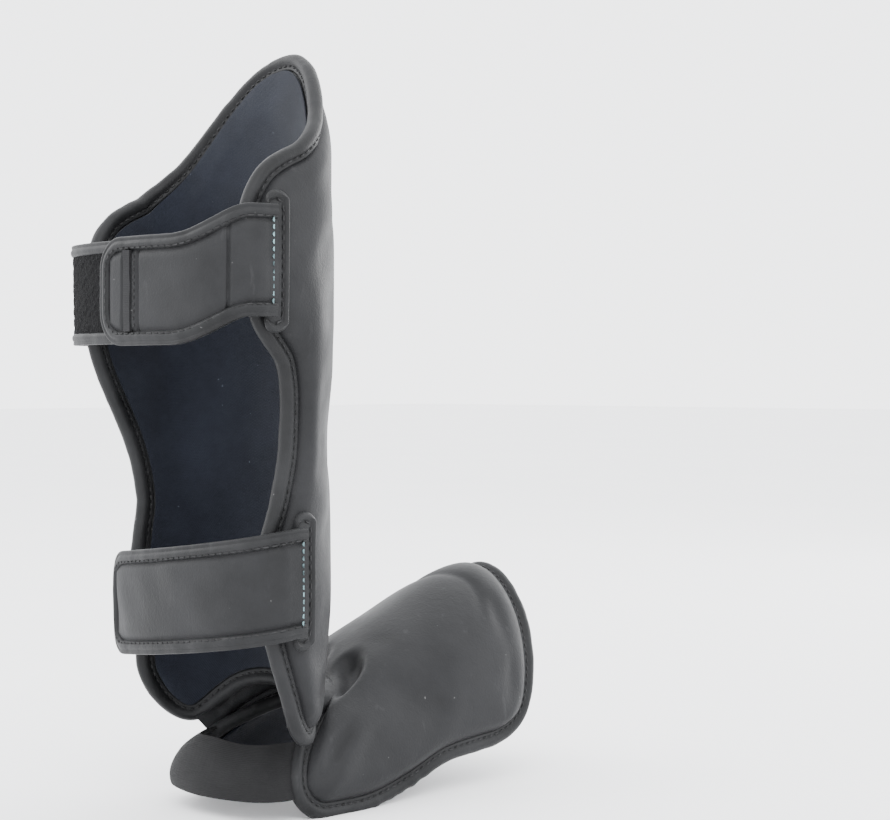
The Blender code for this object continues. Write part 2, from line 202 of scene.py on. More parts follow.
def read(rows, column, at):
    """A column of a table at many shares, on a smooth curve through its rows."""
    keys = np.array([row[0] for row in rows])
    values = np.array([getattr(row, column) for row in rows])
    at = np.clip(at, keys[0], keys[-1])
    last = len(rows) - 1
    i = np.clip(np.searchsorted(keys, at, side="right") - 1, 0, last - 1)
    before, after = np.maximum(i - 1, 0), np.minimum(i + 2, last)
    width = keys[i + 1] - keys[i]
    start = (values[i + 1] - values[before]) / (keys[i + 1] - keys[before])
    end = (values[after] - values[i]) / (keys[after] - keys[i])
    t = (at - keys[i]) / width
    return (
        values[i] * (2 * t**3 - 3 * t**2 + 1)
        + start * width * (t**3 - 2 * t**2 + t)
        + values[i + 1] * (3 * t**2 - 2 * t**3)
        + end * width * (t**3 - t**2)
    )


def ease(share):
    share = np.clip(share, 0.0, 1.0)
    return share * share * (3 - 2 * share)


def bump(distance, width):
    """1 on a line and 0 from width away, with soft flanks."""
    return ease(1 - np.abs(distance) / width)


def quarter(half_width, depth, steps=40):
    angle = np.linspace(0, math.pi / 2, steps + 1)
    x = np.asarray(half_width)[..., None] * np.sin(angle)
    y = np.asarray(depth)[..., None] * np.cos(angle)
    step = np.hypot(np.diff(x, axis=-1), np.diff(y, axis=-1))
    return np.concatenate([np.zeros(step.shape[:-1] + (1,)), np.cumsum(step, axis=-1)], axis=-1)


def section_point(s, half_width, depth):
    lengths = quarter(half_width, depth)
    steps = lengths.shape[-1] - 1
    side = np.where(s < 0, -1.0, 1.0)
    s = np.abs(s)
    past = np.maximum(s - lengths[..., -1], 0)
    k = np.clip((lengths <= s[..., None]).sum(-1) - 1, 0, steps - 1)
    low = np.take_along_axis(lengths, k[..., None], -1)[..., 0]
    high = np.take_along_axis(lengths, k[..., None] + 1, -1)[..., 0]
    angle = 0.5 * math.pi * (k + np.clip((s - low) / (high - low), 0, 1)) / steps
    x = np.where(past > 0, half_width - WING_CURL * (past / WING_REACH) ** 2, half_width * np.sin(angle))
    y = np.where(past > 0, past, -depth * np.cos(angle))
    return side * x, y


def shin_sizes(z):
    up = (z - SHIN_BOTTOM) / SHIN_LENGTH
    half_width = SHIN_HALF_WIDTH * read(SHIN_ROWS, "half_width", up)
    depth = SHIN_DEPTH * read(SHIN_ROWS, "depth", up)
    return up, half_width, depth


def shin_span(up, half_width, depth, u):
    reach = np.where(u < 0, read(SHIN_ROWS, "near", up), read(SHIN_ROWS, "far", up))
    return quarter(half_width, depth)[..., -1] + WING_REACH * reach


def shin_form(u, v):
    u, v = np.broadcast_arrays(np.asarray(u, float), np.asarray(v, float))
    across = np.minimum(np.abs(u), 1.0)
    low = SHIN_BOTTOM + ANKLE_ARCH * read(EDGE_ROWS, "rise", across)
    high = SHIN_BOTTOM + SHIN_LENGTH - DOME_HEIGHT * read(EDGE_ROWS, "drop", across)
    high = high - DOME_TILT * np.sin(math.pi * np.clip(u, -0.5, 0.5))
    z = low + (high - low) * v
    up, half_width, depth = shin_sizes(z)
    x, y = section_point(u * shin_span(up, half_width, depth, u), half_width, depth)
    return vec(x, y, z)


def foot_form(u, v):
    u, v = np.broadcast_arrays(np.asarray(u, float), np.asarray(v, float))
    side_y, side_z, half_width, ridge_y, ridge_z, bow = (
        read(FOOT_ROWS, column, v) for column in FootRow._fields[1:]
    )
    angle = 0.5 * math.pi * u
    height = np.maximum(np.cos(angle), 0)
    x = -np.sign(u) * np.abs(np.sin(angle)) ** FOOT_POINTED * half_width * FOOT_HALF_WIDTH
    y = side_y + (ridge_y - side_y) * height**bow
    z = side_z + (ridge_z - side_z) * height
    return vec(x, -FOOT_FRONT_OF_HEEL - FOOT_LENGTH * y, FOOT_HEIGHT * z)


CORNERS = {shin_form: (ANKLE_CORNER, TOP_CORNER), foot_form: (LOBE_CORNER, TOE_CORNER)}


def soften(form, u, v):
    """The place (u, v) of a form, moved so that the form's corners are rounded."""
    u, v = np.broadcast_arrays(np.asarray(u, float), np.asarray(v, float))
    ankle, top = CORNERS[form]
    side = np.where(u < 0, -1.0, 1.0)
    corner = np.where(v > 0.5, top, ankle)
    end = np.where(v > 0.5, 1.0, 0.0)
    wide = length(form(side, v) - form(side / 2, v)) * 2
    tall = length(form(side, 1 - end) - form(side, end))
    across = 1 - (1 - np.abs(u)) * wide / corner
    down = 1 - np.abs(end - v) * tall / corner
    inside = (across <= 0) | (down <= 0)
    shrink = np.maximum(across, down) / np.maximum(np.hypot(across, down), 1e-9)
    new_u = side * (1 - (1 - across * shrink) * corner / wide)
    new_v = end + (1 - 2 * end) * (1 - down * shrink) * corner / tall
    return np.where(inside, u, new_u), np.where(inside, v, new_v)


def normal(form, u, v, step=0.01):
    u0, u1 = np.maximum(u - step, -1.0), np.minimum(u + step, 1.0)
    v0, v1 = np.maximum(v - step, 0.0), np.minimum(v + step, 1.0)
    return unit(np.cross(form(u1, v) - form(u0, v), form(u, v1) - form(u, v0)))


def edge_distance(form, u, v):
    to_side = length(form(np.where(u < 0, -1.0, 1.0), v) - form(u, v))
    to_end = np.minimum(length(form(u, 0.0) - form(u, v)), length(form(u, 1.0) - form(u, v)))
    return np.minimum(to_side, to_end)


def ripple(points, size, seed, octaves=3):
    """Smooth noise from -1 to 1 in the points' space, from sums of sines with fixed directions."""
    rng = np.random.default_rng(seed)
    total, weight = 0.0, 0.0
    for octave in range(octaves):
        for _ in range(5):
            direction = rng.normal(size=3)
            direction *= 2 * math.pi * 2**octave / (size * np.linalg.norm(direction))
            total = total + np.sin(points @ direction + rng.uniform(0, 6.28)) / 2**octave
            weight += 1 / 2**octave
    return total / weight * 2.2


def sole_band(v):
    """End of the sole elastic on the instep's inside, at a share of its width."""
    along = 0.70 + 0.12 * np.asarray(v, float)
    inside = PAD_THICKNESS + LINING_GAP + LINING_THICKNESS + SOFT_GAP
    return foot_form(0.93, along) - normal(foot_form, 0.93, along) * inside


def frame_shift():
    """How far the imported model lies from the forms, read from the narrow band under the foot."""
    low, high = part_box("sole_elastic")
    lowest = min(float(sole_band(v)[1]) for v in np.linspace(0, 1, 3))
    return Vector(((low.x + high.x) / 2, low.y - lowest, 0.0))


SHIFT = frame_shift()


# Materials


def put(tree, socket, value):
    """Links a value to a socket, or sets it there when it is a plain one."""
    if isinstance(value, bpy.types.NodeSocket):
        tree.links.new(value, socket)
    else:
        socket.default_value = value


def node(tree, kind, inputs=(), **settings):
    made = tree.nodes.new(kind)
    for name, value in settings.items():
        setattr(made, name, value)
    for name, value in dict(inputs).items():
        put(tree, made.inputs[name], value)
    return made


def new_material(name, **constants):
    made = bpy.data.materials.new(name)
    made.use_nodes = True
    tree = made.node_tree
    shader = tree.nodes["Principled BSDF"]
    for socket, value in constants.items():
        shader.inputs[socket.replace("_", " ")].default_value = value
    place = node(tree, "ShaderNodeTexCoord").outputs["Object"]
    return made, tree, shader, place


def noise(tree, place, scale, detail=3.0, roughness=0.55, distortion=0.0):
    inputs = {"Vector": place, "Scale": scale, "Detail": detail}
    inputs.update({"Roughness": roughness, "Distortion": distortion})
    return node(tree, "ShaderNodeTexNoise", inputs).outputs["Fac"]


def span(tree, value, low, high, new_low, new_high):
    inputs = {"Value": value, "From Min": low, "From Max": high, "To Min": new_low, "To Max": new_high}
    return node(tree, "ShaderNodeMapRange", inputs).outputs["Result"]


def maths(tree, operation, a, b):
    made = node(tree, "ShaderNodeMath", operation=operation)
    for socket, value in zip(made.inputs, (a, b)):
        put(tree, socket, value)
    return made.outputs[0]


def waves(tree, value, turn):
    return maths(tree, "SINE", maths(tree, "MULTIPLY", value, turn), 0.0)


def cloth_parts(tree):
    """Metres across and along the cloth, from the piece's own attribute."""
    cloth = node(tree, "ShaderNodeAttribute", attribute_name="cloth").outputs["Vector"]
    return node(tree, "ShaderNodeSeparateXYZ", {"Vector": cloth}).outputs


def mixed(tree, factor, a, b):
    made = node(tree, "ShaderNodeMix", data_type="RGBA")
    for socket, value in zip((made.inputs[0], made.inputs[6], made.inputs[7]), (factor, a, b)):
        put(tree, socket, value)
    return made.outputs[2]


def bumped(tree, shader, height, strength, distance, below=None):
    inputs = {"Height": height, "Strength": strength, "Distance": distance}
    if below is not None:
        inputs["Normal"] = below
    made = node(tree, "ShaderNodeBump", inputs).outputs["Normal"]
    tree.links.new(made, shader.inputs["Normal"])
    return made


def leather(name, dark, light, rough=(0.42, 0.60), grain=1.0):
    """Charcoal leather: pores, soft cloudy tone, faint scuffs and a few pale specks."""
    made, tree, shader, place = new_material(
        name, Specular_IOR_Level=0.13, Sheen_Weight=0.01, Sheen_Roughness=0.5
    )
    cloud = noise(tree, place, 26.0, 4.0, 0.6)
    tone = mixed(tree, span(tree, cloud, 0.35, 0.68, 0.0, 1.0), (*dark, 1), (*light, 1))
    streak = node(tree, "ShaderNodeMapping", {"Vector": place, "Scale": (60.0, 60.0, 14.0)}).outputs[0]
    scuff = noise(tree, streak, 2.2, 5.0, 0.65)
    scuffed = mixed(tree, span(tree, scuff, 0.62, 0.80, 0.0, 0.35), tone, (0.045, 0.045, 0.047, 1))
    speck = noise(tree, place, 330.0, 1.0, 0.4)
    specked = mixed(tree, span(tree, speck, 0.80, 0.84, 0.0, 0.5), scuffed, (0.14, 0.14, 0.14, 1))
    tree.links.new(specked, shader.inputs["Base Color"])
    tree.links.new(span(tree, cloud, 0.3, 0.7, rough[0], rough[1]), shader.inputs["Roughness"])
    pores = node(tree, "ShaderNodeTexVoronoi", {"Vector": place, "Scale": 950.0 / grain}).outputs["Distance"]
    creases = noise(tree, place, 210.0 / grain, 6.0, 0.6, 0.6)
    first = bumped(tree, shader, pores, 0.22, 0.0003)
    bumped(tree, shader, creases, 0.30, 0.0006, first)
    return made


def knit(name, dark, light, pitch):
    """Soft textile: fine rows of loops along the cloth, cloudy tone and lint."""
    made, tree, shader, place = new_material(
        name, Roughness=0.92, Specular_IOR_Level=0.18, Sheen_Weight=0.06, Sheen_Roughness=0.45
    )
    parts = cloth_parts(tree)
    turn = 2 * math.pi / pitch
    weave = maths(tree, "MULTIPLY", waves(tree, parts[0], turn), waves(tree, parts[1], turn * 0.7))
    cloud = noise(tree, place, 34.0, 5.0, 0.62)
    tone = mixed(tree, span(tree, cloud, 0.32, 0.70, 0.0, 1.0), (*dark, 1), (*light, 1))
    shade = mixed(tree, span(tree, weave, -1.0, 1.0, 0.0, 0.35), tone, (*[c * 0.35 for c in dark], 1))
    lint = noise(tree, place, 420.0, 1.0, 0.4)
    linted = mixed(tree, span(tree, lint, 0.79, 0.83, 0.0, 0.45), shade, (0.07, 0.08, 0.10, 1))
    tree.links.new(linted, shader.inputs["Base Color"])
    fuzz = noise(tree, place, 1300.0, 3.0, 0.7)
    first = bumped(tree, shader, weave, 0.35, 0.0004)
    bumped(tree, shader, fuzz, 0.35, 0.0004, first)
    return made


def pile(name):
    """Loop pile: a dense tangle of tiny black loops."""
    made, tree, shader, place = new_material(
        name, Roughness=1.0, Specular_IOR_Level=0.06, Sheen_Weight=0.02, Sheen_Roughness=0.6
    )
    loops = node(tree, "ShaderNodeTexVoronoi", {"Vector": place, "Scale": 760.0}).outputs["Distance"]
    tangle = noise(tree, place, 520.0, 6.0, 0.75, 1.2)
    tone = mixed(tree, tangle, (0.0012, 0.0012, 0.0014, 1), (0.0075, 0.0075, 0.0082, 1))
    tree.links.new(tone, shader.inputs["Base Color"])
    first = bumped(tree, shader, loops, 0.8, 0.0010)
    bumped(tree, shader, tangle, 0.9, 0.0012, first)
    return made


def ribbed(name, dark, light, pitch):
    """Woven elastic: ribs along the band and fine threads across."""
    made, tree, shader, place = new_material(name, Roughness=0.85, Specular_IOR_Level=0.18, Sheen_Weight=0.02)
    parts = cloth_parts(tree)
    rib = waves(tree, parts[1], 2 * math.pi / pitch)
    cross = waves(tree, parts[0], 2 * math.pi / (pitch * 0.6))
    cloud = noise(tree, place, 55.0, 4.0, 0.6)
    tone = mixed(tree, span(tree, cloud, 0.3, 0.7, 0.0, 1.0), (*dark, 1), (*light, 1))
    shade = mixed(tree, span(tree, rib, -1.0, 1.0, 0.0, 0.16), tone, (*[c * 0.4 for c in dark], 1))
    tree.links.new(shade, shader.inputs["Base Color"])
    first = bumped(tree, shader, rib, 0.22, 0.0003)
    bumped(tree, shader, cross, 0.15, 0.0002, first)
    return made


def thread(name, colour, worn):
    """Twisted thread, worn pale in places."""
    made, tree, shader, place = new_material(name, Roughness=0.7, Specular_IOR_Level=0.3)
    wear = noise(tree, place, 120.0, 4.0, 0.6)
    tone = mixed(tree, span(tree, wear, 0.40, 0.62, 0.0, 1.0), (*colour, 1), (*worn, 1))
    tree.links.new(tone, shader.inputs["Base Color"])
    bumped(tree, shader, noise(tree, place, 2400.0, 2.0), 0.5, 0.0003)
    return made


MATERIALS = {
    "leather": leather("leather_face", (0.0085, 0.0087, 0.0094), (0.0150, 0.0152, 0.0162)),
    "strap": leather("leather_strap", (0.0090, 0.0092, 0.0098), (0.0160, 0.0162, 0.0172), (0.44, 0.60), 0.9),
    "edge": leather("leather_edge", (0.0070, 0.0072, 0.0076), (0.0160, 0.0162, 0.0170), (0.40, 0.56), 0.7),
    "lining": knit("lining_knit", (0.0052, 0.0066, 0.0112), (0.0096, 0.0118, 0.0185), 0.0011),
    "pile": pile("loop_tangle"),
    "elastic": ribbed("elastic_weave", (0.0060, 0.0060, 0.0064), (0.0095, 0.0095, 0.0099), 0.0011),
    "woven": ribbed("woven_tape", (0.008, 0.008, 0.009), (0.016, 0.016, 0.017), 0.0009),
    "thread": thread("dark_thread", (0.003, 0.003, 0.0032), (0.016, 0.016, 0.017)),
    "worn_thread": thread("worn_thread", (0.012, 0.020, 0.022), (0.17, 0.27, 0.29)),
}


# Mesh helpers


def add_piece(name, points, faces, kind, cloth=None, nodes=(), smooth=True):
    """A finished piece from points in the forms' space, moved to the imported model's place."""
    mesh = bpy.data.meshes.new(name)
    moved = np.asarray(points, float) + np.array(SHIFT)
    mesh.from_pydata([tuple(p) for p in moved], [], [tuple(int(i) for i in f) for f in faces])
    mesh.validate()
    if smooth:
        mesh.shade_smooth()
        mesh.set_sharp_from_angle(angle=math.radians(50))
    if cloth is not None:
        layer = mesh.attributes.new("cloth", "FLOAT_VECTOR", "POINT")
        layer.data.foreach_set("vector", np.asarray(cloth, np.float32).ravel())
    mesh.materials.append(MATERIALS[kind])
    made = bpy.data.objects.new(name, mesh)
    bpy.context.scene.collection.objects.link(made)
    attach(made, "root")
    if nodes:
        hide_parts(*nodes)
    return made


def sheet_faces(columns, rows):
    """Faces of a closed sheet of two grids of points, the outer one first."""
    wide = columns + 1
    below = wide * (rows + 1)
    j, i = np.meshgrid(np.arange(rows), np.arange(columns), indexing="ij")
    a = (j * wide + i).ravel()
    outer = np.stack([a, a + 1, a + 1 + wide, a + wide], 1)
    inner = np.stack([below + a, below + a + wide, below + a + 1 + wide, below + a + 1], 1)
    rim = list(range(columns))
    rim += [k * wide + columns for k in range(rows)]
    rim += [rows * wide + k for k in range(columns, 0, -1)]
    rim += [k * wide for k in range(rows, 0, -1)]
    rim = np.array(rim)
    ahead = np.roll(rim, -1)
    side = np.stack([ahead, rim, below + rim, below + ahead], 1)
    return np.concatenate([outer, inner, side])


def grid(columns, rows, u_range=(-1.0, 1.0), v_range=(0.0, 1.0)):
    return np.meshgrid(np.linspace(*u_range, columns + 1), np.linspace(*v_range, rows + 1))


def cloth_of(points, distance=None):
    """Lengths across and along a grid of points, and the distance to its edge."""
    across = np.zeros(points.shape[:2])
    along = np.zeros(points.shape[:2])
    across[:, 1:] = np.cumsum(length(np.diff(points, axis=1)), 1)
    along[1:] = np.cumsum(length(np.diff(points, axis=0)), 0)
    across = across - across[:, across.shape[1] // 2][:, None]
    last = np.zeros_like(across) if distance is None else distance
    return np.stack([across, along, last], -1).reshape(-1, 3)


def closed_sheet(name, outer, inner, kind, nodes=(), distance=None):
    rows, columns = outer.shape[0] - 1, outer.shape[1] - 1
    points = np.concatenate([outer.reshape(-1, 3), inner.reshape(-1, 3)])
    cloth = cloth_of(outer, distance)
    return add_piece(name, points, sheet_faces(columns, rows), kind, np.concatenate([cloth, cloth]), nodes)


def smoothed(values, times=1, closed=True):
    for _ in range(times):
        before, after = np.roll(values, 1, 0), np.roll(values, -1, 0)
        fresh = (before + 2 * values + after) / 4
        if not closed:
            fresh[0], fresh[-1] = values[0], values[-1]
        values = fresh
    return values


def sweep(name, centre, out, up, profile, kind, nodes=(), closed=True):
    """A profile of (out, up) pairs swept along a line. Each pair is two numbers, or two rows of numbers."""
    count, sides = len(centre), len(profile)
    rings = np.stack(
        [centre + out * np.reshape(a, (-1, 1)) + up * np.reshape(b, (-1, 1)) for a, b in profile], 1
    )
    points = rings.reshape(-1, 3)
    faces = []
    for n in range(count if closed else count - 1):
        here, there = n * sides, (n + 1) % count * sides
        for side in range(sides):
            other = (side + 1) % sides
            faces.append((here + side, there + side, there + other, here + other))
    if not closed:
        faces.append(tuple(range(sides)))
        faces.append(tuple(reversed(range((count - 1) * sides, count * sides))))
    run = run_of(centre)
    around = run_of(rings[0])
    cloth = np.stack(np.broadcast_arrays(around[None, :], run[:, None], 0.0), -1).reshape(-1, 3)
    return add_piece(name, points, faces, kind, cloth, nodes)


def stitches(name, line, face, kind="thread", step=STITCH_STEP, closed=True, radius=THREAD_RADIUS):
    """A row of stitches along a line, each a rounded bar that dips into the surface at both ends."""
    if closed:
        line = np.concatenate([line, line[:1]])
        face = np.concatenate([face, face[:1]])
    run = run_of(line)
    count = max(int(run[-1] / step), 1)
    at = (np.arange(count) + 0.5) * run[-1] / count
    reach = STITCH_LENGTH / 2 * min(step / STITCH_STEP, 1.0)
    centre = between(at, run, line)
    ahead = between(np.minimum(at + reach, run[-1]), run, line)
    tangent = unit(ahead - between(np.maximum(at - reach, 0), run, line))
    out = unit(between(at, run, face))
    side = unit(np.cross(out, tangent))
    out = np.cross(tangent, side)
    points, faces = [], []
    rings = ((-1.0, 0.15, -0.9), (-0.72, 0.85, -0.2), (0.0, 1.0, 0.25), (0.72, 0.85, -0.2), (1.0, 0.15, -0.9))
    sides = 6
    for n in range(count):
        base = len(points)
        for share, thick, lift in rings:
            for k in range(sides):
                angle = 2 * math.pi * k / sides
                offset = side[n] * math.cos(angle) * thick + out[n] * (math.sin(angle) * thick + lift)
                points.append(centre[n] + tangent[n] * reach * share + offset * radius)
        for ring in range(len(rings) - 1):
            for k in range(sides):
                a, b = base + ring * sides + k, base + ring * sides + (k + 1) % sides
                faces.append((b, a, a + sides, b + sides))
        faces.append(tuple(base + k for k in range(sides)))
        faces.append(tuple(base + (len(rings) - 1) * sides + k for k in reversed(range(sides))))
    return add_piece(name, np.array(points), faces, kind)


# Padded forms


def panel_relief(u, v):
    """Height of the raised panel on the front of the shin."""
    point = shin_form(u, v)
    up, half_width, depth = shin_sizes(point[..., 2])
    wide = PANEL_HALF_WIDTH * read(PANEL_ROWS, "half_width", up)
    inside = (wide - np.abs(u) * shin_span(up, half_width, depth, u)) / PANEL_EDGE
    above = (up - PANEL_BOTTOM) * SHIN_LENGTH / PANEL_EDGE
    shown = (up > PANEL_ROWS[0].up - 0.03) & (up < PANEL_ROWS[-1].up)
    return np.where(shown, PANEL_HEIGHT * ease(inside + 0.5) * ease(above + 0.5), 0.0)


def shin_relief(u, v):
    """The raised panel, fine creases near the dome's top, and the soft swell of the foam."""
    point = shin_form(u, v)
    top = ease((point[..., 2] - SHIN_BOTTOM) / SHIN_LENGTH * 8 - 6.6)
    fine = ripple(point * (1, 1, 3.2), 0.020, 5) * 0.00030 * top
    swell = ripple(point, 0.120, 9, 2) * 0.0006
    return panel_relief(u, v) + fine + swell


def foot_relief(u, v):
    """Creases by the ankle and near the toes, a dip where the ankle folds, and the soft swell of the foam."""
    point = foot_form(u, v)
    creases = np.abs(ripple(point * (1, 0.6, 1.4), 0.055, 21, 2))
    near_heel = ease(1 - v / 0.30)
    side = np.abs(u)
    away = np.hypot((v - 0.090) / 0.112, (side - 0.24) / 0.190)
    dip = -0.0080 * (1 - ease((away - 0.45) / 0.55))
    fold = (side - 0.60) * 0.42 + v - 0.155
    dip = dip - 0.0030 * bump(fold, 0.075) * ease((side - 0.58) / 0.14) * ease((0.97 - side) / 0.10)
    dip = dip + 0.0016 * bump(fold - 0.095, 0.08) * ease((side - 0.62) / 0.14) * ease((0.97 - side) / 0.10)
    swell = ripple(point, 0.110, 3, 2) * 0.0009
    toe = -0.0006 * bump(v - 0.74 - 0.05 * np.sin(7 * u), 0.035) * bump(np.abs(u) - 0.25, 0.28)
    return swell + dip + toe - 0.0004 * creases * near_heel


def rolled(distance):
    share = np.clip((distance - ROLL_START) / ROLL, 0, 1)
    return (PAD_THICKNESS - EDGE_THICKNESS) * (1 - np.sqrt(1 - (1 - share) ** 2))


def puff(made, shape, free, cap):
    """Inflates the free points of a pad's outer grid with cloth simulation, each by cap at most."""
    outer_count = shape[0] * shape[1]
    group = made.vertex_groups.new(name="held")
    for index, loose in enumerate(free):
        group.add([index], float(1 - loose), "REPLACE")
    rest = np.array([v.co for v in made.data.vertices])
    modifier = made.modifiers.new("cloth", "CLOTH")
    settings = modifier.settings
    settings.vertex_group_mass = "held"
    settings.use_pressure = True
    settings.uniform_pressure_force = CLOTH_PRESSURE
    settings.effector_weights.gravity = 0.0
    settings.shrink_min = -0.01
    settings.tension_stiffness = 30.0
    settings.compression_stiffness = 30.0
    settings.bending_stiffness = 1.5
    settings.quality = 5
    modifier.collision_settings.use_collision = False
    scene = bpy.context.scene
    for step in range(1, CLOTH_STEPS + 1):
        scene.frame_set(step)
    graph = bpy.context.evaluated_depsgraph_get()
    moved = np.array([v.co for v in made.evaluated_get(graph).to_mesh().vertices])
    made.modifiers.remove(modifier)
    scene.frame_set(1)
    way = np.nan_to_num(moved - rest)
    far = np.maximum(length(way), 1e-12)[:, None]
    way = way * np.minimum(far, cap) / far
    net = way[:outer_count].reshape(shape + (3,))
    for _ in range(4):
        around = net[:-2, 1:-1] + net[2:, 1:-1] + net[1:-1, :-2] + net[1:-1, 2:]
        net[1:-1, 1:-1] = (around + net[1:-1, 1:-1] * 2) / 6
    way[:outer_count] = net.reshape(-1, 3)
    way[outer_count:] = 0
    made.data.vertices.foreach_set("co", (rest + way).ravel())
    made.vertex_groups.remove(group)
    made.data.update()


def subdivide(made):
    """Applies one smooth subdivision to a piece."""
    modifier = made.modifiers.new("smooth", "SUBSURF")
    modifier.levels = 1
    modifier.render_levels = 1
    graph = bpy.context.evaluated_depsgraph_get()
    fine = bpy.data.meshes.new_from_object(made.evaluated_get(graph))
    made.modifiers.remove(modifier)
    old = made.data
    made.data = fine
    bpy.data.meshes.remove(old)
    made.data.name = made.name


def pad(name, form, relief, columns, rows, node_name):
    """The padded leather face of a form, down to its inner side."""
    u0, v0 = grid(columns, rows)
    u, v = soften(form, u0, v0)
    away = normal(form, u, v)
    distance = edge_distance(form, u0, v0)
    face = form(u, v)
    inner_share = ease((distance - 0.004) / 0.012)
    outer = face - away * (rolled(distance) - relief(u, v) * inner_share)[..., None]
    made = closed_sheet(name, outer, face - away * PAD_THICKNESS, "leather", (node_name,), distance)
    free = np.concatenate([ease((distance - 0.006) / 0.010).ravel(), np.zeros(distance.size)])
    puff(made, distance.shape, free, CLOTH_CAP)
    subdivide(made)


def lining(name, form, columns, rows, node_name, swell, seed):
    """The textile inside a form, which puffs between the bindings, and the area of its surface."""
    u0, v0 = grid(columns, rows)
    u, v = soften(form, u0 * 0.995, 0.003 + v0 * 0.994)
    away = normal(form, u, v)
    distance = edge_distance(form, u0, v0)
    face = form(u, v)
    depth = PAD_THICKNESS + LINING_GAP
    edge = EDGE_THICKNESS / 2
    rise = 1 - np.sqrt(1 - (1 - np.clip(distance / 0.012, 0, 1)) ** 2)
    soft = swell * ease(distance / 0.024) * (1 + 0.30 * ripple(face, 0.140, seed, 2))
    crease = 0.00025 * ripple(face * (1.4, 1.4, 1.0), 0.060, seed + 1, 2) * ease(distance / 0.025)
    low = depth + LINING_THICKNESS + soft + crease - (edge * 0.4) * rise
    outer = face - away * depth
    inner = face - away * np.maximum(low, depth + 0.0006)[..., None]
    made = closed_sheet(name, outer, inner, "lining", (node_name,), distance)
    cells = np.cross(np.diff(outer, axis=1)[:-1], np.diff(outer, axis=0)[:, :-1])
    return made, float(length(cells).sum())


def outline(columns, rows):
    """Places once round the edge of a form."""
    low = [(-1 + 2 * i / columns, 0.0) for i in range(columns)]
    right = [(1.0, j / rows) for j in range(rows)]
    high = [(1 - 2 * i / columns, 1.0) for i in range(columns)]
    left = [(-1.0, 1 - j / rows) for j in range(rows)]
    return np.array(low + right + high + left)


def edge_frames(form, places):
    """Middle of the binding round a form, with its directions out and up."""
    u, v = soften(form, places[:, 0], places[:, 1])
    up = normal(form, u, v)
    middle = form(u, v) - up * (PAD_THICKNESS - EDGE_THICKNESS / 2)
    along = unit(np.roll(middle, -1, 0) - np.roll(middle, 1, 0))
    out = unit(smoothed(unit(np.cross(along, up)), 3))
    centre = smoothed(middle + out * (BINDING_RADIUS + 2 * GAP), 3)
    along = unit(np.roll(centre, -1, 0) - np.roll(centre, 1, 0))
    up = unit(np.cross(out, along))
    out = np.cross(along, up)
    return centre, out, up


# Section of a folded strip: across from its sewn edge (-1) to its fold (1), and half its thickness there
StripRow = namedtuple("StripRow", "across half")
STRIP_ROWS = (
    StripRow(-1.00, 0.30),
    StripRow(-0.97, 0.56),
    StripRow(-0.88, 0.74),
    StripRow(-0.70, 0.79),
    StripRow(-0.52, 0.72),
    StripRow(-0.42, 0.68),
    StripRow(-0.30, 0.76),
    StripRow(-0.10, 0.93),
    StripRow(0.15, 1.00),
    StripRow(0.42, 0.97),
    StripRow(0.66, 0.82),
    StripRow(0.84, 0.58),
    StripRow(0.96, 0.28),
)


def strip_profile(inside, half, outside=BINDING_RADIUS):
    """Pairs (out, up) round a folded strip, with the groove that its stitches lie in."""
    middle, reach = (outside - inside) / 2, (outside + inside) / 2
    over = [(middle + reach * row.across, half * row.half) for row in reversed(STRIP_ROWS)]
    under = [(across, -thick) for across, thick in reversed(over)]
    return [(outside, 0.0)] + over + under


def binding(name, form, columns, rows, node_name, seed):
    """The folded leather strip round a form, gathered a little, with stitches on both faces."""
    places = outline(columns, rows)
    centre, out, up = edge_frames(form, places)
    at_side = np.abs(places[:, 0]) > 0.999
    tight = bump(places[:, 1] - GATHERED[0], GATHERED[1]) * at_side * (form is foot_form)
    gather = 0.00010 * ripple(centre, 0.012, seed, 2) + 0.00014 * ripple(centre, 0.050, seed + 1, 2)
    gather = (gather + 0.00030 * tight * ripple(centre, 0.0052, seed + 2, 1))[:, None]
    profile = strip_profile(STRIP_INSIDE, STRIP_HALF)
    rows_of = []
    for across, thick in profile:
        sign = math.copysign(1.0, thick)
        wave = gather[:, 0] * (1 if across > 0 else 0.6)
        rows_of.append((across + wave * (1 if across > 2e-3 else 0), thick + sign * wave))
    made = sweep(name, centre, out, up, rows_of, "edge", (node_name,))
    for vertex in made.data.vertices:
        vertex.co.z = max(vertex.co.z, 0.0)
    line = centre - out * STITCH_INSET
    high = STRIP_HALF * 0.68 + THREAD_RADIUS * 0.7
    stitches(name + "_outer_stitches", line + up * high, up)
    stitches(name + "_inner_stitches", line - up * high, -up)


# Straps


def ring(strap, place, z, over):
    """Points of the ring that a strap follows, over metres outside the shell."""
    place, z = np.broadcast_arrays(np.asarray(place, float), np.asarray(z, float))
    _, half_width, depth = shin_sizes(z)
    front = quarter(half_width, depth)[..., -1]
    near, far = WING_REACH * strap.near, WING_REACH * strap.far
    angle = math.pi * np.clip(place, 0, 1)
    curl = WING_CURL * (strap.near + (strap.far - strap.near) * place) ** 2
    y = near + (far - near) * place + (strap.back + over) * np.sin(angle) ** 0.8
    behind = vec(-(half_width - curl + over) * np.cos(angle), y, z)
    side = np.where(place < 0, -1.0, 1.0)
    past = np.where(place < 0, -place, place - 1)
    s = front + np.where(place < 0, near, far) - np.maximum(past, 0) * WING_REACH
    x, y = section_point(side * s, half_width, depth)
    x1, y1 = section_point(side * (s - 0.001), half_width, depth)
    away = unit(vec(y - y1, x1 - x, 0.0)) * side[..., None]
    beside = vec(x, y, z) + away * np.asarray(over)[..., None]
    return np.where(((place >= 0) & (place <= 1))[..., None], behind, beside)


def strap_level(strap, place):
    return strap.height - strap.drop * ease((place - strap.fall) / (strap.settle - strap.fall))


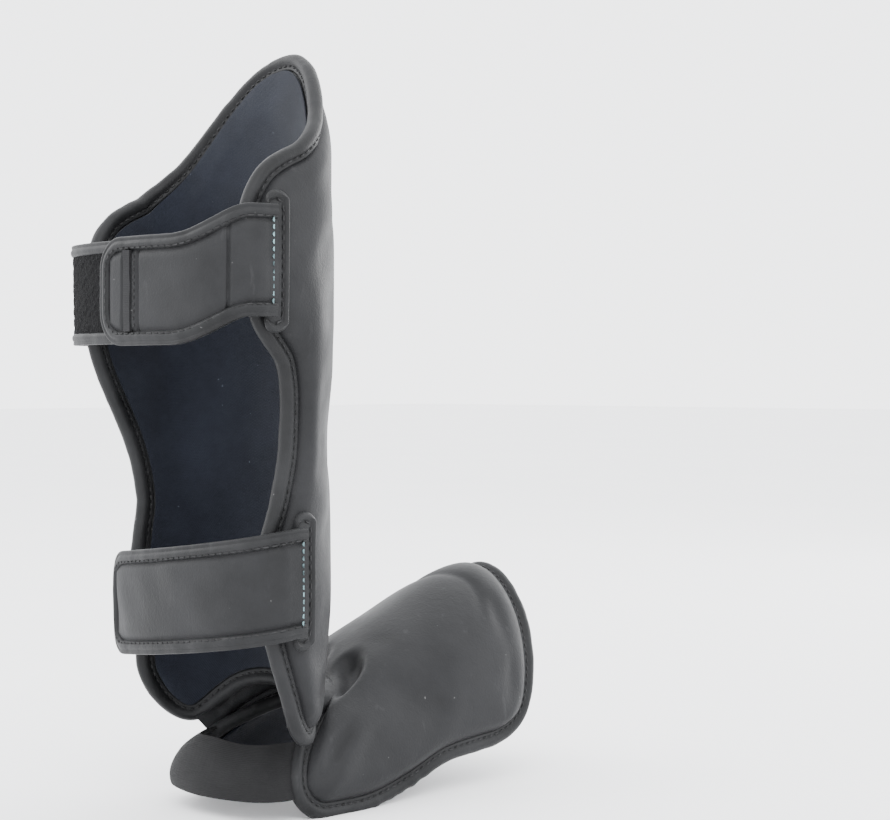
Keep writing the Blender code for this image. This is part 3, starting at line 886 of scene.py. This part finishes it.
def strap_point(strap, place, across, over):
    """Point of a strap: place round the ring, across in metres from its middle line."""
    return ring(strap, place, strap_level(strap, place) + across, over)


def strap_normal(strap, place, across, over):
    step = 0.01
    along = strap_point(strap, place + step, across, over) - strap_point(strap, place - step, across, over)
    upward = strap_point(strap, place, across + 0.001, over) - strap_point(strap, place, across - 0.001, over)
    return unit(np.cross(along, upward))


def strap_run(strap, start, end, over):
    """Places from start to end, and the length along the strap up to each."""
    place = np.linspace(start, end, 400)
    return place, run_of(strap_point(strap, place, 0.0, over))


Seam = namedtuple("Seam", "at depth width")
UPPER_SEAMS = (Seam(0.225, 0.0013, 0.0012), Seam(0.735, 0.0012, 0.0011), Seam(0.832, 0.0011, 0.0011))
LOWER_SEAMS = ()


def strap_body(strap, over, seams, columns=230, rows=34):
    """A padded strap with a rounded free end, grooves at its seams and a soft pillow between its edges."""
    places, run = strap_run(strap, strap.start, strap.end, over)
    whole = run[-1]
    share, across = grid(columns, rows, (0.0, 1.0), (-1.0, 1.0))
    left = (1 - share) * whole
    tight = 1 - np.clip(left / STRAP_CORNER, 0, 1)
    half = STRAP_WIDTH / 2 - STRAP_CORNER * (1 - np.sqrt(1 - tight**2))
    place = np.interp(share * whole, run, places)
    height = across * half
    to_edge = np.minimum(half - np.abs(height), left)
    pillow = 0.0011 * ease((to_edge - 0.004) / 0.008) - 0.0009 * bump(to_edge - 0.0060, 0.0025)
    for seam in seams:
        pillow = pillow - seam.depth * bump(share - seam.at, seam.width / whole * 1.6)
    point = strap_point(strap, place, height, over)
    pillow = pillow + 0.00045 * ripple(point, 0.045, 31, 2) * ease(to_edge / 0.010)
    outer = strap_point(strap, place, height, over + STRAP_THICKNESS - 0.0009 + pillow)
    inner = strap_point(strap, place, height, over + 0.0004)
    name = strap.name + "_strap"
    made = closed_sheet(
        name + "_face", outer[:, ::-1], inner[:, ::-1], "strap", (name,), to_edge[:, ::-1]
    )
    return places, run


def strap_edge_line(strap, over, places, run, inset):
    """Line inset from a strap's edge, from its sewn end along the top, round the free end and back."""
    whole = run[-1]
    radius = STRAP_CORNER - inset
    half = STRAP_WIDTH / 2 - inset
    straight = whole - STRAP_CORNER
    bend = np.linspace(0, math.pi / 2, 14)
    s = [np.linspace(0, straight, 90, endpoint=False), straight + radius * np.sin(bend)]
    t = [np.full(90, half), half - radius * (1 - np.cos(bend))]
    down = np.linspace(half - radius, -(half - radius), 26)[1:-1]
    s += [np.full(24, straight + radius), straight + radius * np.sin(bend[::-1])]
    t += [down, -half + radius * (1 - np.cos(bend[::-1]))]
    s.append(np.linspace(straight, 0, 90)[1:])
    t.append(np.full(89, -half))
    s, t = np.concatenate(s), np.concatenate(t)
    place = np.interp(s, run, places)
    line = strap_point(strap, place, t, over)
    face = strap_normal(strap, place, t, over)
    gone = run_of(line)
    at = np.linspace(0, gone[-1], 420)
    return between(at, gone, line), unit(between(at, gone, face))


def strap_edging(strap, over, places, run):
    """The folded strip round a strap, and the stitches beside it."""
    name = strap.name + "_strap_edging"
    line, face = strap_edge_line(strap, over + STRAP_THICKNESS / 2, places, run, 0.0032)
    line = smoothed(line, 2, closed=False)
    along = unit(np.gradient(line, axis=0))
    out = unit(np.cross(along, face))
    wave = 0.00018 * ripple(line, 0.014, 41, 2)
    profile = [(a, b + math.copysign(1, b) * wave) for a, b in strip_profile(0.0041, 0.0029, 0.0032)]
    sweep(name, line, out, face, profile, "edge", closed=False)
    seam, face = strap_edge_line(strap, over + STRAP_THICKNESS / 2 + 0.0026, places, run, 0.0052)
    stitches(name + "_stitches", seam, face, closed=False)


def strap_anchor(strap, columns=44, rows=60):
    """The patch that a strap is sewn to: rounded outer corners and a raised rim."""
    start, end = strap.start - 0.26, strap.start + 0.06
    over = GAP
    places, run = strap_run(strap, start, end, over)
    whole = run[-1]
    tail = 0.0055
    half_width = STRAP_WIDTH / 2 + ANCHOR_BORDER
    corner = 0.0075
    share, across = grid(columns, rows, (0.0, 1.0), (-1.0, 1.0))
    s = share * whole
    tight = 1 - np.clip(s / corner, 0, 1)
    last = 1 - np.clip((whole - s) / tail, 0, 1)
    half = half_width - corner * (1 - np.sqrt(1 - tight**2)) - tail * (1 - np.sqrt(1 - last**2))
    height = across * half
    place = np.interp(s, run, places)
    to_edge = np.minimum(half - np.abs(height), s)
    rim = 0.0008 * bump(to_edge - 0.0020, 0.0022) - 0.0011 * (1 - ease(to_edge / 0.0016))
    groove = -0.0007 * bump(to_edge - 0.0046, 0.0014)
    outer = strap_point(strap, place, height, over + ANCHOR_THICKNESS - 0.0008 + rim + groove)
    inner = strap_point(strap, place, height, over + 0.0001)
    name = strap.name + "_patch"
    nodes = (strap.name + "_strap_anchor",)
    closed_sheet(name, outer[:, ::-1], inner[:, ::-1], "edge", nodes, to_edge[:, ::-1])
    t = np.linspace(-1, 1, 120)
    turned = np.clip((np.abs(t) - 0.82) / 0.18, 0, 1)
    place = np.interp(0.0046 + 0.0045 * (1 - np.sqrt(1 - turned**2)), run, places)
    line = strap_point(strap, place, t * (half_width - 0.0046), over + ANCHOR_THICKNESS - 0.0008)
    face = strap_normal(strap, place, t * (half_width - 0.0046), over)
    stitches(name + "_stitches", line, face, closed=False)


def strap_seam(strap, over, places, run):
    """The worn row of stitches that sews a strap to its patch."""
    t = np.linspace(-1, 1, 60) * (STRAP_WIDTH / 2 - 0.0050)
    place = np.interp(0.0028, run, places)
    line = strap_point(strap, place, t, over + STRAP_THICKNESS + 0.0002)
    face = strap_normal(strap, place, t, over)
    name = strap.name + "_strap_seam"
    stitches(name, line, face, "worn_thread", step=0.0034, closed=False, radius=0.00052)


def strap_rows(strap, over, places, run, seams):
    """Stitches across a strap, just beside each of its seams."""
    for count, seam in enumerate(seams):
        t = np.linspace(-1, 1, 60) * (STRAP_WIDTH / 2 - 0.0075)
        place = np.interp(seam.at * run[-1] + 0.0022, run, places)
        line = strap_point(strap, place, t, over + STRAP_THICKNESS + 0.0004)
        face = strap_normal(strap, place, t, over)
        name = strap.name + "_strap_row_" + str(count)
        stitches(name, line, face, step=0.0034, closed=False, radius=0.00036)


def strap_tape(strap, over, places, run):
    """The narrow woven tape across the upper strap, between two seams."""
    low, high = 0.775, 0.818
    share, across = grid(8, 60, (low, high), (-1.0, 1.0))
    place = np.interp(share * run[-1], run, places)
    height = across * (STRAP_WIDTH / 2 - 0.0062)
    lift = 0.0003 * ripple(strap_point(strap, place, height, over), 0.02, 55, 2)
    outer = strap_point(strap, place, height, over + STRAP_THICKNESS + 0.0010 + lift)
    inner = strap_point(strap, place, height, over + STRAP_THICKNESS - 0.0010)
    closed_sheet("upper_strap_tape", outer[:, ::-1], inner[:, ::-1], "woven")


def loop_flap(strap, columns=110, rows=44):
    """The flap of loop pile on the far wing, with leather hems along its long edges."""
    start, end = strap.flap_start, 1.60
    places, run = strap_run(strap, start, end, GAP)
    share, across = grid(columns, rows, (0.0, 1.0), (-1.0, 1.0))
    place = np.interp(share * run[-1], run, places)
    half = FLAP_WIDTH / 2 - 0.0012
    point = strap_point(strap, place, across * half, GAP)
    to_edge = np.minimum(half - np.abs(across * half), np.minimum(share, 1 - share) * run[-1])
    tufts = 0.00035 * ripple(point, 0.0042, 61, 3) * ease(to_edge / 0.003)
    outer = strap_point(strap, place, across * half, GAP + FLAP_THICKNESS - 0.0006 + tufts)
    inner = strap_point(strap, place, across * half, GAP + 0.0002)
    name = strap.name + "_flap"
    nodes = (strap.name + "_loop_flap",)
    closed_sheet(name + "_pile", outer[:, ::-1], inner[:, ::-1], "pile", nodes, to_edge[:, ::-1])
    for side, label in ((1, "top"), (-1, "bottom")):
        place = np.interp(np.linspace(0, run[-1], 160), run, places)
        height = side * (FLAP_WIDTH / 2 - 0.0030)
        line = strap_point(strap, place, height, GAP + FLAP_THICKNESS / 2)
        face = strap_normal(strap, place, height, GAP)
        along = unit(np.gradient(line, axis=0))
        out = np.cross(along, face) * side
        wave = 0.00015 * ripple(line, 0.013, 71, 2)
        strip = strip_profile(0.0034, 0.0022, 0.0030)
        profile = [(side * a, b + math.copysign(1, b) * wave) for a, b in strip]
        if side < 0:
            profile = profile[::-1]
        sweep(name + "_" + label + "_hem", line, out * side, face, profile, "edge", closed=False)


def all_straps():
    for strap, seams in zip(STRAPS, (UPPER_SEAMS, LOWER_SEAMS)):
        over = GAP + SOFT_GAP + max(ANCHOR_THICKNESS, FLAP_THICKNESS)
        strap_anchor(strap)
        places, run = strap_body(strap, over, seams)
        strap_edging(strap, over, places, run)
        strap_seam(strap, over, places, run)
        loop_flap(strap)
        if strap.name == "upper":
            strap_tape(strap, over, places, run)
            strap_rows(strap, over, places, run, seams[1:2])


# Elastics and the ankle


def grid_normal(points):
    return unit(np.cross(np.gradient(points, axis=1), np.gradient(points, axis=0)))


def elastic_sheet(name, middle, node_name):
    """A stretched band round a grid of points in the middle of its thickness."""
    away = grid_normal(middle) * (ELASTIC_THICKNESS / 2)
    made = closed_sheet(name, middle + away, middle - away, "elastic", (node_name,))


def heel_ends(v):
    """Middle of the instep binding at the heel edge and its way out, for shares of the band's width."""
    place = 0.92 - 0.33 * np.asarray(v, float)
    step = 0.01
    u = np.stack([place - step, place, place + step])
    soft_u, soft_v = soften(foot_form, u, 0.0)
    up = normal(foot_form, soft_u, soft_v)
    middle = foot_form(soft_u, soft_v) - up * (PAD_THICKNESS - EDGE_THICKNESS / 2)
    along = unit(middle[2] - middle[0])
    out = unit(np.cross(along, up[1]))
    return middle[1] + out * (BINDING_RADIUS + 2 * GAP), out


def heel_elastic(columns=90, rows=30):
    u, v = grid(columns, rows)
    centre, out = heel_ends(v)
    end = centre + out * (BINDING_RADIUS * 0.4)
    angle = 0.5 * math.pi * u
    slack = 1 + 0.04 * ripple(vec(u * 0.05, v * 0.03, 0), 0.045, 81, 2)
    x = -end[..., 0] * np.sin(angle)
    y = end[..., 1] + (HEEL_BULGE + BINDING_RADIUS * 0.6) * np.cos(angle) ** 0.8 * slack
    wave = 0.0012 * np.sin(5 * u + 1.0) * ease(v * 2 - 1) * np.cos(angle)
    points = vec(x, y, end[..., 2] + wave)[:, ::-1]
    elastic_sheet("heel_band", points, "heel_elastic")


def sole_elastic(columns=60, rows=12):
    u, v = grid(columns, rows)
    end = sole_band(v)
    x = -end[..., 0] * u * 1.02
    z = end[..., 2] - SOLE_ELASTIC_SAG * np.cos(0.5 * math.pi * u)
    points = vec(x, end[..., 1], z)[:, ::-1]
    elastic_sheet("toe_band", points, "sole_elastic")


def hem_line(form, places):
    """Middle of a form's binding along its bottom edge."""
    u, v = soften(form, places, 0.0)
    up = normal(form, u, v)
    middle = form(u, v) - up * (PAD_THICKNESS - EDGE_THICKNESS / 2)
    out = unit(np.cross(unit(np.gradient(middle, axis=0)), up))
    return middle + out * (BINDING_RADIUS + 2 * GAP)


def ankle_bridge(columns=90, rows=40):
    """The soft leather fold between the shin pad's bottom edge and the instep pad's heel edge."""
    share = np.linspace(-1, 1, columns + 1)
    near = share < 0
    top = hem_line(shin_form, np.where(near, 0.53, 0.78) * share)
    low = hem_line(foot_form, np.where(near, -0.43, -0.66) * share)
    v = np.linspace(0, 1, rows + 1)[:, None, None]
    points = low[None] * (1 - v) + top[None] * v
    away = grid_normal(points)
    fold = 0.0016 * np.sin(v[..., 0] * 3 * math.pi) * (1 + 0.3 * ripple(points, 0.03, 91, 2))
    bend = ease((np.abs(share)[None, :] - 0.62) / 0.38)
    fold = fold * (1 - bend) - np.where(near, 0.013, 0.005) * bend
    points = points + away * (fold + 0.0004 * ripple(points, 0.012, 92, 2))[..., None]
    away = grid_normal(points) * (BRIDGE_THICKNESS / 2)
    closed_sheet("ankle_fold", points + away, points - away, "leather", ("ankle_bridge",))


# Stage


def stage():
    floor = bpy.data.meshes.new("floor")
    reach = 12.0
    corners = [(-reach, -reach, 0), (reach, -reach, 0), (reach, reach, 0), (-reach, reach, 0)]
    floor.from_pydata(corners, [], [(0, 1, 2, 3)])
    made = bpy.data.objects.new("floor", floor)
    paper, tree, shader, place = new_material("paper", Roughness=0.85, Specular_IOR_Level=0.1)
    cloud = noise(tree, place, 3.0, 2.0)
    tone = mixed(tree, cloud, (0.86, 0.86, 0.87, 1), (0.90, 0.90, 0.90, 1))
    tree.links.new(tone, shader.inputs["Base Color"])
    floor.materials.append(paper)
    bpy.context.scene.collection.objects.link(made)
    world = bpy.data.worlds.new("studio")
    world.use_nodes = True
    background = world.node_tree.nodes["Background"]
    background.inputs[0].default_value = (0.94, 0.95, 0.97, 1)
    background.inputs[1].default_value = 4.0
    bpy.context.scene.world = world


def light(name, place, aim, size, power, tall=None):
    data = bpy.data.lights.new(name, "AREA")
    data.shape = "ELLIPSE"
    data.size = size
    data.size_y = tall or size
    data.energy = power
    made = bpy.data.objects.new(name, data)
    made.location = place
    made.rotation_euler = (Vector(aim) - Vector(place)).to_track_quat("-Z", "Y").to_euler()
    bpy.context.scene.collection.objects.link(made)


def camera():
    azimuth, elevation = math.radians(CAMERA_AZIMUTH), math.radians(CAMERA_ELEVATION)
    level = math.cos(elevation)
    back = Vector((math.sin(azimuth) * level, -math.cos(azimuth) * level, math.sin(elevation)))
    right = Vector((math.cos(azimuth), math.sin(azimuth), 0.0))
    up = back.cross(right)
    focal = CAMERA_DISTANCE / METRES_PER_PIXEL
    right_by = (TARGET_PIXEL[0] - IMAGE_SIZE[0] / 2) / focal
    up_by = (IMAGE_SIZE[1] / 2 - TARGET_PIXEL[1]) / focal
    ahead = (-back - right * right_by - up * up_by).normalized()
    data = bpy.data.cameras.new("camera")
    data.sensor_width = SENSOR
    data.lens = SENSOR * focal / IMAGE_SIZE[0]
    data.clip_start = 0.01
    made = bpy.data.objects.new("camera", data)
    made.location = CAMERA_TARGET + back * CAMERA_DISTANCE
    made.rotation_euler = ahead.to_track_quat("-Z", "Y").to_euler()
    bpy.context.scene.collection.objects.link(made)
    bpy.context.scene.camera = made


def build():
    pad("shin_shell", shin_form, shin_relief, 76, 84, "shin_pad")
    pad("instep_shell", foot_form, foot_relief, 60, 52, "instep_pad")
    made, area = lining("shin_lining_cloth", shin_form, 120, 130, "shin_lining", 0.0016, 11)
    made, area = lining("instep_lining_cloth", foot_form, 100, 80, "instep_lining", 0.0014, 15)
    binding("shin_edging", shin_form, 150, 150, "shin_binding", 101)
    binding("instep_edging", foot_form, 110, 80, "instep_binding", 105)
    all_straps()
    heel_elastic()
    sole_elastic()
    ankle_bridge()
    stage()
    light("key", (-1.3, 1.0, 1.6), (0, 0, 0.2), 1.3, 20)
    light("fill", (-1.2, -1.5, 0.9), (0, 0, 0.2), 1.4, 8)
    light("rim", (1.4, 0.9, 1.2), (0, 0, 0.2), 1.0, 12)
    light("front", (0.6, -1.9, 1.3), (0, 0, 0.2), 1.2, 6)
    light("strip", (0.0, -1.8, 0.42), (0, 0, 0.25), 0.22, 14, tall=1.4)
    camera()


build()
